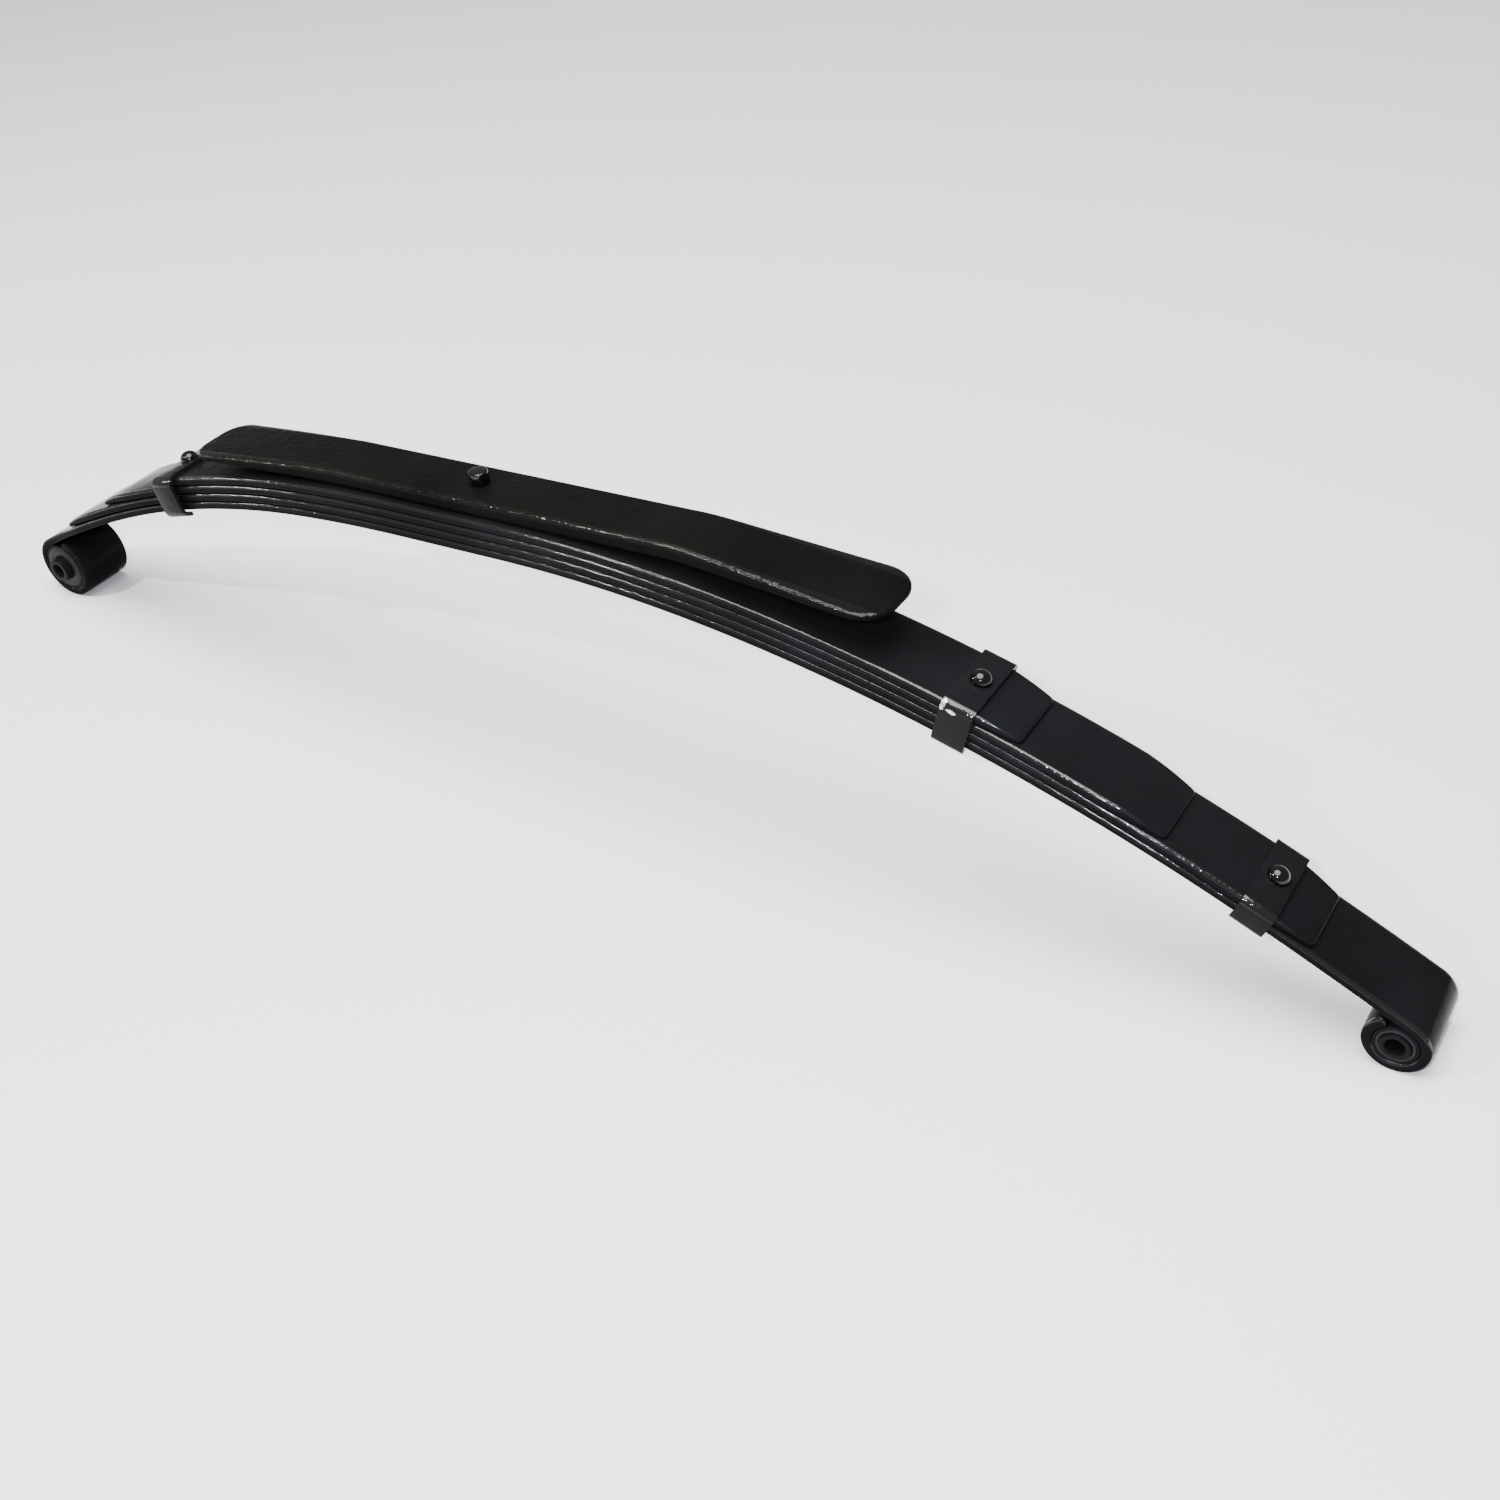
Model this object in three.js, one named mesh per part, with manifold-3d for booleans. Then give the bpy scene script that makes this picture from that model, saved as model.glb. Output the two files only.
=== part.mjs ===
// Leaf spring: an arched main leaf with a rolled eye at each end, three shorter leaves clamped on its back,
// a thick overload leaf on top, a centre bolt through the pack, three riveted clips and a bush in each eye.
// Millimetres. +X runs to the rear eye, +Y across the leaves, +Z up. The spring stands on its two eyes at z = 0.
import * as THREE from "three";
import { mergeVertices } from "three/addons/utils/BufferGeometryUtils.js";
import Module from "manifold-3d";

const wasm = await Module();
wasm.setup();

// The pack. Arc lengths are measured from the centre bolt along the underside of the main leaf.
const gap = 0.3;
const leafWidth = 63.5;
const leafThickness = 7.5;
const leafPitch = leafThickness + gap;
const leafEdge = 1.6;
const tipThickness = 3.6;
const tipTaper = 36;
const tipHalfWidth = 27;
const tipNarrowing = 42;
const tipCorner = 7;

// Arch of the pack on each side of the bolt, as [length, radius] arcs. Radius 0 is straight.
const frontArch = [
  [71, 0],
  [110, 1560],
  [130, 900],
  [120, 940],
  [155, 1140],
];
const rearArch = [
  [28, 0],
  [210, 1260],
  [220, 1370],
  [200, 1520],
  [120, 2500],
];
const frontEyeReach = 586;
const rearEyeReach = 778;
const secondLeafEnds = [531, 697];
const thirdLeafEnds = [454, 581];
const fourthLeafEnds = [364, 469];

// Eyes and bushes.
const frontEyeRadius = 30.8;
const rearEyeRadius = 23.2;
const frontEyeWrap = THREE.MathUtils.degToRad(314);
const rearEyeWrap = THREE.MathUtils.degToRad(306);
const frontEyeHalfWidth = 26;
const sleeveWall = 1.6;
const boreRadius = 7;
const frontCoreRadius = 11.5;
const rearCoreRadius = 10.5;
const bushHalfLength = 33;

// Overload leaf: full thickness in the middle, rolled thinner and a little wider toward each rounded end.
const overloadThickness = 14.5;
const overloadHalfWidth = 26.8;
const overloadEdge = 5;
const overloadFront = [
  [142, 0],
  [160, 3400],
];
const overloadRear = [
  [195, 0],
  [20, 291],
  [155, 0],
];
const overloadEnds = {
  front: { thinFrom: 142, thinning: 0.053, flare: 0.0262, corner: 22 },
  rear: { thinFrom: 195, thinning: 0.0515, flare: 0.043, corner: 27 },
};

// Centre bolt, clips and rivets.
const boltRadius = 5;
const boltHeadRadius = 7.9;
const boltHeadHeight = 10.5;
const boltTail = 15;
const nutAcrossFlats = 17;
const nutHeight = 9;
const clipThickness = 3.2;
const clipWidth = 25;
const clipEdge = 0.8;
const clipReach = 5;
const clipTuck = 3.5;
const rivetShankRadius = 4;
const rivetHeadRadius = 8;
const rivetHeadHeight = 7.5;
const holeClearance = 0.4;
const clipSideGap = 0.5;
const looseSideGap = 4.5;
const frontClipAt = -338;
const innerClipAt = 423;
const outerClipAt = 654.5;

const steelPaint = { color: 0x17181a, roughness: 0.28, metalness: 0.3 };
const castPaint = { color: 0x1b1c1e, roughness: 0.4, metalness: 0.3 };
const rubberSkin = { color: 0x232426, roughness: 0.7, metalness: 0 };

// A point at a signed arc length, lifted square off the curve by an offset. Slope is the curve's angle there.
function along(frontArcs, rearArcs, reach, lift) {
  const side = reach < 0 ? -1 : 1;
  let left = Math.abs(reach);
  let x = 0;
  let z = 0;
  let turn = 0;
  for (const [length, radius] of side < 0 ? frontArcs : rearArcs) {
    const step = Math.min(left, length);
    if (radius === 0) {
      x += step * Math.cos(turn);
      z -= step * Math.sin(turn);
    } else {
      const next = turn + step / radius;
      x += radius * (Math.sin(next) - Math.sin(turn));
      z -= radius * (Math.cos(turn) - Math.cos(next));
      turn = next;
    }
    left -= step;
  }
  const slope = -side * turn;
  return {
    x: side * x - Math.sin(slope) * lift,
    z: z + Math.cos(slope) * lift,
    slope,
  };
}

function onPack(reach, lift = 0) {
  return along(frontArch, rearArch, reach, lift);
}

function onOverload(reach, lift = 0) {
  const p = along(overloadFront, overloadRear, reach, lift);
  p.z += 3 * leafPitch + leafThickness + gap;
  return p;
}

// Evenly spaced values from one end to the other, both included.
function spread(from, to, step) {
  const count = Math.max(1, Math.round(Math.abs(to - from) / step));
  return Array.from(
    { length: count + 1 },
    (_, i) => from + ((to - from) * i) / count,
  );
}

// A three.js geometry as a manifold solid, and back.
function solid(geometry) {
  const bare = geometry.clone();
  bare.deleteAttribute("normal");
  bare.deleteAttribute("uv");
  const merged = mergeVertices(bare, 1e-4);
  return new wasm.Manifold(
    new wasm.Mesh({
      numProp: 3,
      vertProperties: merged.attributes.position.array,
      triVerts: new Uint32Array(merged.index.array),
    }),
  );
}

function surface(body) {
  const mesh = body.getMesh();
  const geometry = new THREE.BufferGeometry();
  geometry.setAttribute(
    "position",
    new THREE.BufferAttribute(mesh.vertProperties, 3),
  );
  geometry.setIndex(new THREE.BufferAttribute(mesh.triVerts, 1));
  geometry.computeVertexNormals();
  return geometry;
}

// A side outline, given as {x, z} points, drawn out across the spring with eased long edges.
function sidePlate(points, halfWidth, edge, rounds = 2) {
  const outline = new THREE.Shape(
    points.map((p) => new THREE.Vector2(p.x, p.z)),
  );
  const plate = new THREE.ExtrudeGeometry(outline, {
    depth: 2 * (halfWidth - edge),
    bevelEnabled: true,
    bevelThickness: edge,
    bevelSize: edge,
    bevelOffset: -edge,
    bevelSegments: rounds,
  });
  plate.rotateX(Math.PI / 2);
  plate.translate(0, halfWidth - edge, 0);
  return solid(plate);
}

// Everything behind a leaf's end, narrowing toward it and with rounded corners, seen square on to the leaf.
function endTrim(at, side, full, endHalfWidth, narrowing, corner) {
  const wide = leafWidth;
  const outline = new THREE.Shape();
  const run = (x, y) => outline.lineTo(side * x, y);
  const slant = ((full - endHalfWidth) * corner) / narrowing;
  outline.moveTo(-side * 2000, -wide);
  run(-narrowing - 1, -wide);
  run(-narrowing, -full);
  run(-corner, -endHalfWidth - slant);
  outline.quadraticCurveTo(
    0,
    -endHalfWidth,
    0,
    -endHalfWidth + corner,
  );
  run(0, endHalfWidth - corner);
  outline.quadraticCurveTo(0, endHalfWidth, -side * corner, endHalfWidth + slant);
  run(-narrowing, full);
  run(-narrowing - 1, wide);
  run(-2000, wide);
  const block = new THREE.ExtrudeGeometry(outline, {
    depth: 3000,
    bevelEnabled: false,
    curveSegments: 6,
  });
  block.translate(0, 0, -1500);
  block.rotateY(-at.slope);
  block.translate(at.x, 0, at.z);
  return solid(block);
}

// A round bar square to the pack at a station, from one lift to another.
function crossBar(reach, radius, fromLift, toLift, sides = 20) {
  const bar = new THREE.CylinderGeometry(
    radius,
    radius,
    toLift - fromLift,
    sides,
  );
  bar.rotateX(Math.PI / 2);
  bar.translate(0, 0, (fromLift + toLift) / 2);
  return place(bar, reach);
}

// Moves a geometry from the bolt's own frame to a station on the pack.
function place(geometry, reach) {
  const at = onPack(reach);
  geometry.rotateY(-at.slope);
  geometry.translate(at.x, 0, at.z);
  return geometry;
}

// One plain leaf of the pack: level 0 is the main leaf, and each level above lies on the one below.
function packLeaf(level, [frontEnd, rearEnd]) {
  const under = level * leafPitch;
  const height = (reach) => {
    const inset = Math.min(reach + frontEnd, rearEnd - reach);
    const thin = Math.min(1, inset / tipTaper);
    return tipThickness + (leafThickness - tipThickness) * Math.sin((thin * Math.PI) / 2);
  };
  const trim = (end, side) =>
    endTrim(onPack(end, under), side, leafWidth / 2 + 1, tipHalfWidth, tipNarrowing, tipCorner);
  const reaches = [
    ...spread(-frontEnd, -frontEnd + tipTaper, 12),
    ...spread(-frontEnd + tipTaper, rearEnd - tipTaper, 30).slice(1, -1),
    ...spread(rearEnd - tipTaper, rearEnd, 12),
  ];
  const low = reaches.map((reach) => onPack(reach, under));
  const high = reaches.map((reach) => onPack(reach, under + height(reach)));
  return sidePlate([...low, ...high.reverse()], leafWidth / 2, 1.5)
    .intersect(trim(-frontEnd, -1))
    .intersect(trim(rearEnd, 1));
}

// Where an eye's centre lies: its outside is tangent to the top of the main leaf.
function eyeCentre(reach, radius) {
  return onPack(reach, leafThickness - radius);
}

// Points round an eye, from its crown outward and under, at a given radius.
function eyeTurn(reach, eyeRadius, wrap, radius) {
  const centre = eyeCentre(reach, eyeRadius);
  const side = Math.sign(reach);
  return spread(0, wrap, 0.2)
    .slice(1)
    .map((turn) => {
      const up = radius * Math.cos(turn);
      const out = side * radius * Math.sin(turn);
      return {
        x: centre.x - Math.sin(centre.slope) * up + Math.cos(centre.slope) * out,
        z: centre.z + Math.cos(centre.slope) * up + Math.sin(centre.slope) * out,
      };
    });
}

function mainLeaf() {
  const reaches = spread(-frontEyeReach, rearEyeReach, 30);
  const frontOut = eyeTurn(-frontEyeReach, frontEyeRadius, frontEyeWrap, frontEyeRadius);
  const frontIn = eyeTurn(
    -frontEyeReach,
    frontEyeRadius,
    frontEyeWrap,
    frontEyeRadius - leafThickness,
  );
  const rearOut = eyeTurn(rearEyeReach, rearEyeRadius, rearEyeWrap, rearEyeRadius);
  const rearIn = eyeTurn(
    rearEyeReach,
    rearEyeRadius,
    rearEyeWrap,
    rearEyeRadius - leafThickness,
  );
  const outline = [
    ...frontOut.reverse(),
    ...reaches.map((reach) => onPack(reach, leafThickness)),
    ...rearOut,
    ...rearIn.reverse(),
    ...reaches.map((reach) => onPack(reach, 0)).reverse(),
    ...frontIn,
  ];
  return sidePlate(outline, leafWidth / 2, leafEdge).intersect(frontNarrowing());
}

// The main leaf's plan: full width, then drawn in to the narrower front eye.
function frontNarrowing() {
  const full = leafWidth / 2 + 1;
  const wideFrom = onPack(-505).x;
  const narrowAt = onPack(-562).x;
  const outline = new THREE.Shape();
  outline.moveTo(1000, -full);
  outline.lineTo(1000, full);
  outline.lineTo(wideFrom, full);
  outline.quadraticCurveTo(narrowAt + 20, frontEyeHalfWidth, narrowAt - 10, frontEyeHalfWidth);
  outline.lineTo(-1000, frontEyeHalfWidth);
  outline.lineTo(-1000, -frontEyeHalfWidth);
  outline.lineTo(narrowAt - 10, -frontEyeHalfWidth);
  outline.quadraticCurveTo(narrowAt + 20, -frontEyeHalfWidth, wideFrom, -full);
  const block = new THREE.ExtrudeGeometry(outline, {
    depth: 1200,
    bevelEnabled: false,
    curveSegments: 6,
  });
  block.translate(0, 0, -700);
  return solid(block);
}

// The overload leaf: a box whose cross-section is a round-edged bar that thins, flares and rounds off at the ends.
function overloadLeaf() {
  const length = (arcs) => arcs.reduce((sum, [step]) => sum + step, 0);
  const frontEnd = length(overloadFront);
  const rearEnd = length(overloadRear);
  const fromTip = (corner) => spread(0, 1, 0.125).map((part) => corner * part * part);
  const stations = [
    ...fromTip(overloadEnds.front.corner).map((inset) => inset - frontEnd),
    ...spread(overloadEnds.front.corner - frontEnd, -overloadFront[0][0], 20).slice(1),
    ...spread(-overloadFront[0][0], overloadRear[0][0], 56).slice(1),
    ...spread(overloadRear[0][0], overloadRear[0][0] + overloadRear[1][0], 10).slice(1),
    ...spread(rearEnd - overloadRear[2][0], rearEnd - overloadEnds.rear.corner, 32).slice(1),
    ...fromTip(overloadEnds.rear.corner).map((inset) => rearEnd - inset).reverse().slice(1),
  ];
  const section = (reach) => {
    const end = reach < 0 ? overloadEnds.front : overloadEnds.rear;
    const past = Math.max(0, Math.abs(reach) - end.thinFrom);
    const inset = reach < 0 ? reach + frontEnd : rearEnd - reach;
    const intoCorner = Math.max(0, end.corner - inset);
    const rounding = end.corner - Math.sqrt(end.corner ** 2 - intoCorner ** 2);
    const thickness = overloadThickness - end.thinning * past;
    return {
      thickness,
      half: overloadHalfWidth + end.flare * past - rounding,
      edge: Math.min(overloadEdge, thickness / 2 - 0.4),
    };
  };
  const steps = stations.length - 1;
  const bar = new THREE.BoxGeometry(steps, 2, 2, steps, 8, 4);
  const position = bar.attributes.position;
  for (let i = 0; i < position.count; i += 1) {
    const reach = stations[Math.round(position.getX(i) + steps / 2)];
    const { thickness, half, edge } = section(reach);
    const across = half * Math.sin((position.getY(i) * Math.PI) / 2);
    const up = (thickness / 2) * Math.sin((position.getZ(i) * Math.PI) / 2);
    const coreY = THREE.MathUtils.clamp(across, edge - half, half - edge);
    const coreZ = THREE.MathUtils.clamp(up, edge - thickness / 2, thickness / 2 - edge);
    const away = Math.hypot(across - coreY, up - coreZ);
    const pull = away > 0 ? edge / away : 0;
    const lift = thickness / 2 + coreZ + (up - coreZ) * pull;
    const p = onOverload(reach, lift);
    position.setXYZ(i, p.x, coreY + (across - coreY) * pull, p.z);
  }
  return solid(bar);
}

// A round tube lying across the spring, its ends eased, centred on an eye.
function eyeTube(centre, outer, inner, halfLength, ease, sides = 32) {
  const profile = [
    new THREE.Vector2(inner, -halfLength),
    new THREE.Vector2(outer - ease, -halfLength),
    new THREE.Vector2(outer, -halfLength + ease),
    new THREE.Vector2(outer, halfLength - ease),
    new THREE.Vector2(outer - ease, halfLength),
    new THREE.Vector2(inner, halfLength),
    new THREE.Vector2(inner, -halfLength),
  ];
  const tube = new THREE.LatheGeometry(profile, sides);
  tube.translate(centre.x, 0, centre.z);
  return solid(tube);
}

// A strap bent over the pack, its ears closed in under the main leaf, with a hole for the rivet.
function packClip(reach, level, sideGap) {
  const inside = leafWidth / 2 + sideGap;
  const outside = inside + clipThickness;
  const under = level * leafPitch + leafThickness + gap;
  const over = under + clipThickness;
  const bend = 5.5;
  const foot = -gap - clipReach + 1;
  const lipIn = leafWidth / 2 + clipSideGap - clipTuck;
  const outline = new THREE.Shape();
  outline.moveTo(outside, over - bend);
  outline.absarc(outside - bend, over - bend, bend, 0, Math.PI / 2, false);
  outline.absarc(-outside + bend, over - bend, bend, Math.PI / 2, Math.PI, false);
  outline.lineTo(-outside, foot + 3);
  outline.quadraticCurveTo(-outside, foot, -lipIn, foot - 0.4);
  outline.lineTo(-lipIn, foot + 2.4);
  outline.quadraticCurveTo(-inside, foot + 2.6, -inside, foot + 4.4);
  outline.lineTo(-inside, under - 2.3);
  outline.absarc(-inside + 2.3, under - 2.3, 2.3, Math.PI, Math.PI / 2, true);
  outline.absarc(inside - 2.3, under - 2.3, 2.3, Math.PI / 2, 0, true);
  outline.lineTo(inside, foot + 4.4);
  outline.quadraticCurveTo(inside, foot + 2.6, lipIn, foot + 2.4);
  outline.lineTo(lipIn, foot - 0.4);
  outline.quadraticCurveTo(outside, foot, outside, foot + 3);
  const strap = new THREE.ExtrudeGeometry(outline, {
    depth: clipWidth - 2 * clipEdge,
    bevelEnabled: true,
    bevelThickness: clipEdge,
    bevelSize: clipEdge,
    bevelOffset: -clipEdge,
    bevelSegments: 1,
    curveSegments: 5,
  });
  strap.translate(0, 0, -clipWidth / 2 + clipEdge);
  strap.rotateX(Math.PI / 2);
  strap.rotateZ(Math.PI / 2);
  return solid(place(strap, reach)).subtract(rivetHole(reach, level));
}

function rivetHole(reach, level) {
  const under = level * leafPitch;
  return solid(
    crossBar(reach, rivetShankRadius + holeClearance, under - 3, under + leafThickness + 9),
  );
}

// A round-headed rivet: a domed head on the clip, and a shank that ends flush with the leaf's underside.
function clipRivet(reach, level) {
  const under = level * leafPitch;
  const seat = under + leafThickness + gap + clipThickness + gap;
  const profile = [
    new THREE.Vector2(0, under),
    new THREE.Vector2(rivetShankRadius, under),
    new THREE.Vector2(rivetShankRadius, seat),
    new THREE.Vector2(rivetHeadRadius - 0.4, seat),
  ];
  for (let i = 0; i <= 5; i += 1) {
    const turn = (i / 5) * (Math.PI / 2);
    profile.push(
      new THREE.Vector2(
        i === 5 ? 0 : rivetHeadRadius * Math.cos(turn),
        seat + 0.6 + (rivetHeadHeight - 0.6) * Math.sin(turn),
      ),
    );
  }
  const rivet = new THREE.LatheGeometry(profile, 20);
  rivet.rotateX(Math.PI / 2);
  return solid(place(rivet, reach));
}

// The centre bolt: a plain round head that locates the spring, its shank down through every leaf to the nut.
function centreBolt() {
  const seat = 3 * leafPitch + leafThickness + gap + overloadThickness + gap;
  const crown = seat + boltHeadHeight;
  const profile = [
    new THREE.Vector2(0, -boltTail),
    new THREE.Vector2(boltRadius - 1, -boltTail),
    new THREE.Vector2(boltRadius, -boltTail + 1),
    new THREE.Vector2(boltRadius, seat),
    new THREE.Vector2(boltHeadRadius, seat),
    new THREE.Vector2(boltHeadRadius, crown - 1.2),
    new THREE.Vector2(boltHeadRadius - 0.4, crown - 0.4),
    new THREE.Vector2(boltHeadRadius - 1.2, crown),
    new THREE.Vector2(0, crown),
  ];
  const bolt = new THREE.LatheGeometry(profile, 32);
  bolt.rotateX(Math.PI / 2);
  return solid(bolt);
}

function centreNut() {
  const corner = nutAcrossFlats / Math.sqrt(3);
  const outline = new THREE.Shape(
    Array.from({ length: 6 }, (_, i) => {
      const turn = (i * Math.PI) / 3;
      return new THREE.Vector2(corner * Math.cos(turn), corner * Math.sin(turn));
    }),
  );
  const nut = new THREE.ExtrudeGeometry(outline, {
    depth: nutHeight - 1.4,
    bevelEnabled: true,
    bevelThickness: 0.7,
    bevelSize: 0.9,
    bevelOffset: -0.9,
    bevelSegments: 1,
  });
  nut.translate(0, 0, -gap - nutHeight + 0.7);
  return solid(nut).subtract(boltHole());
}

function boltHole() {
  const bar = new THREE.CylinderGeometry(
    boltRadius + holeClearance,
    boltRadius + holeClearance,
    120,
    24,
  );
  bar.rotateX(Math.PI / 2);
  return solid(bar);
}

// Stand the spring on its eyes: the floor touches both, and the middle of its length is over x = 0.
const frontEye = eyeCentre(-frontEyeReach, frontEyeRadius);
const rearEye = eyeCentre(rearEyeReach, rearEyeRadius);
const eyeSpan = Math.hypot(rearEye.x - frontEye.x, rearEye.z - frontEye.z);
const floorSlope =
  Math.atan2(rearEye.z - frontEye.z, rearEye.x - frontEye.x) -
  Math.asin((rearEyeRadius - frontEyeRadius) / eyeSpan);

function stood(x, z) {
  return {
    x: x * Math.cos(floorSlope) + z * Math.sin(floorSlope),
    z: -x * Math.sin(floorSlope) + z * Math.cos(floorSlope),
  };
}

const frontStood = stood(frontEye.x, frontEye.z);
const rearStood = stood(rearEye.x, rearEye.z);
const middleX = (frontStood.x - frontEyeRadius + rearStood.x + rearEyeRadius) / 2;
const floorZ = frontStood.z - frontEyeRadius;

const group = new THREE.Group();
group.name = "leaf_spring";

function addPart(name, body, look) {
  const geometry = surface(body);
  geometry.rotateY(floorSlope);
  geometry.translate(-middleX, 0, -floorZ);
  const mesh = new THREE.Mesh(geometry, new THREE.MeshStandardMaterial(look));
  mesh.name = name;
  group.add(mesh);
}

addPart("main_leaf", mainLeaf().subtract(boltHole()), steelPaint);
addPart(
  "second_leaf",
  packLeaf(1, secondLeafEnds).subtract(boltHole()).subtract(rivetHole(outerClipAt, 1)),
  steelPaint,
);
addPart("third_leaf", packLeaf(2, thirdLeafEnds).subtract(boltHole()), steelPaint);
addPart(
  "fourth_leaf",
  packLeaf(3, fourthLeafEnds)
    .subtract(boltHole())
    .subtract(rivetHole(frontClipAt, 3))
    .subtract(rivetHole(innerClipAt, 3)),
  steelPaint,
);
addPart("overload_leaf", overloadLeaf().subtract(boltHole()), castPaint);
addPart("centre_bolt", centreBolt(), steelPaint);
addPart("centre_bolt_nut", centreNut(), steelPaint);

const clips = [
  ["front", frontClipAt, 3, looseSideGap],
  ["rear_inner", innerClipAt, 3, clipSideGap],
  ["rear_outer", outerClipAt, 1, clipSideGap],
];
for (const [place, reach, level, sideGap] of clips) {
  addPart("clip_" + place, packClip(reach, level, sideGap), steelPaint);
  addPart("rivet_" + place, clipRivet(reach, level), steelPaint);
}

const bushes = [
  ["front", frontEye, frontEyeRadius, frontEyeHalfWidth, frontCoreRadius],
  ["rear", rearEye, rearEyeRadius, leafWidth / 2, rearCoreRadius],
];
for (const [place, centre, eyeRadius, halfWidth, coreRadius] of bushes) {
  const shell = eyeRadius - leafThickness - gap;
  const rubberOuter = shell - sleeveWall - gap;
  addPart(
    place + "_bush_shell",
    eyeTube(centre, shell, shell - sleeveWall, halfWidth - 0.8, 0.4),
    steelPaint,
  );
  addPart(
    place + "_bush_rubber",
    eyeTube(centre, rubberOuter, coreRadius + gap, halfWidth + 0.4, 1),
    rubberSkin,
  );
  addPart(
    place + "_bush_core",
    eyeTube(centre, coreRadius, boreRadius, bushHalfLength, 0.8),
    steelPaint,
  );
}

export default group;
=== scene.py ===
# Leaf spring in gloss black paint, standing on its two eyes.
from math import atan2, ceil, cos, pi, radians, sin
import bpy
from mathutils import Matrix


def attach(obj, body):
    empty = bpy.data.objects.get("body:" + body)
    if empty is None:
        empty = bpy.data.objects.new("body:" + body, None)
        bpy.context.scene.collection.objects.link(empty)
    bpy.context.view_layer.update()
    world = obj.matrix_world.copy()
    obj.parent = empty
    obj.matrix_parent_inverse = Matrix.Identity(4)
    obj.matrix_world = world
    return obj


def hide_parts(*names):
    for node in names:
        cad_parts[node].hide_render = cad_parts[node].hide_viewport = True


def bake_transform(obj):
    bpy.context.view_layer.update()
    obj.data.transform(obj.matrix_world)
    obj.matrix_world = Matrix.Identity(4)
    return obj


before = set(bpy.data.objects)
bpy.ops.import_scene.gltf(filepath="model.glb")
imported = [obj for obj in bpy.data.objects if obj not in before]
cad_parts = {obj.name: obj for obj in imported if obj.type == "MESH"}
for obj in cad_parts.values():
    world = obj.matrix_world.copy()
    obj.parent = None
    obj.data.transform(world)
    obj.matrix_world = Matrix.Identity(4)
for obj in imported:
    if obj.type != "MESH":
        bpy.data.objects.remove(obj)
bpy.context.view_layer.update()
print("frame loaded")

pack = {  # metres; reaches run along the underside of the main leaf from the centre bolt
    "leafWidth": 0.0635,
    "leafThickness": 0.0075,
    "leafGap": 0.0003,
    "frontArch": [(0.071, 0), (0.110, 1.560), (0.130, 0.900), (0.120, 0.940), (0.155, 1.140)],
    "rearArch": [(0.028, 0), (0.210, 1.260), (0.220, 1.370), (0.200, 1.520), (0.120, 2.500)],
    "lean": 0.0555428,  # the bolt leans back this much when both eyes are on the floor
    "boltFoot": (-0.094594, 0.199313),
}
leafPitch = pack["leafThickness"] + pack["leafGap"]
samePlace = 0.00001  # metres; points closer than this count as one place
mergeWithin = 0.000005
roundCap = 30  # a face with more corners than this is the end of something round
squareOn = 0.9  # how closely a normal has to follow an axis
cornerAngle = 50  # degrees; a sharper turn than this is an edge to round off


def startClean():
    if bpy.context.object and bpy.context.object.mode != "OBJECT":
        bpy.ops.object.mode_set(mode="OBJECT")
    bpy.ops.object.select_all(action="DESELECT")


def pickOnly(obj):
    startClean()
    obj.select_set(True)
    bpy.context.view_layer.objects.active = obj


def settle(obj):  # place, turn and size go into the mesh
    pickOnly(obj)
    bpy.ops.object.transform_apply(location=True, rotation=True, scale=True)
    return obj


def editMode(obj, kind="FACE"):  # nothing selected, and back in object mode to pick
    pickOnly(obj)
    bpy.ops.object.mode_set(mode="EDIT")
    bpy.ops.mesh.select_mode(type=kind)
    bpy.ops.mesh.select_all(action="DESELECT")
    bpy.ops.object.mode_set(mode="OBJECT")


def pickFaces(obj, test):  # select the faces that pass, and stay in edit mode
    editMode(obj, "FACE")
    for face in obj.data.polygons:
        face.select = bool(test(face))
    bpy.ops.object.mode_set(mode="EDIT")


def pickEdges(obj, test):
    editMode(obj, "EDGE")
    points = obj.data.vertices
    for edge in obj.data.edges:
        a, b = (points[i].co for i in edge.vertices)
        edge.select = bool(test(a, b))
    bpy.ops.object.mode_set(mode="EDIT")


def faceOut(obj):
    editMode(obj, "FACE")
    bpy.ops.object.mode_set(mode="EDIT")
    bpy.ops.mesh.select_all(action="SELECT")
    bpy.ops.mesh.remove_doubles(threshold=mergeWithin)
    bpy.ops.mesh.normals_make_consistent(inside=False)
    bpy.ops.object.mode_set(mode="OBJECT")


def smooth(obj, angle=35):
    pickOnly(obj)
    bpy.ops.object.shade_smooth_by_angle(angle=radians(angle))
    return obj


def applied(obj, kind, **settings):
    modifier = obj.modifiers.new(kind.title(), kind)
    for key, value in settings.items():
        setattr(modifier, key, value)
    pickOnly(obj)
    bpy.ops.object.modifier_apply(modifier=modifier.name)


def easeSharpEdges(obj, width, segments, angle=40):
    editMode(obj, "EDGE")
    bpy.ops.object.mode_set(mode="EDIT")
    bpy.ops.mesh.edges_select_sharp(sharpness=radians(angle))
    bpy.ops.mesh.bevel(offset=width, segments=segments, profile=0.5, clamp_overlap=True)
    bpy.ops.object.mode_set(mode="OBJECT")


def named(name):
    obj = bpy.context.object
    obj.name = name
    obj.data.name = name
    return obj


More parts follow.
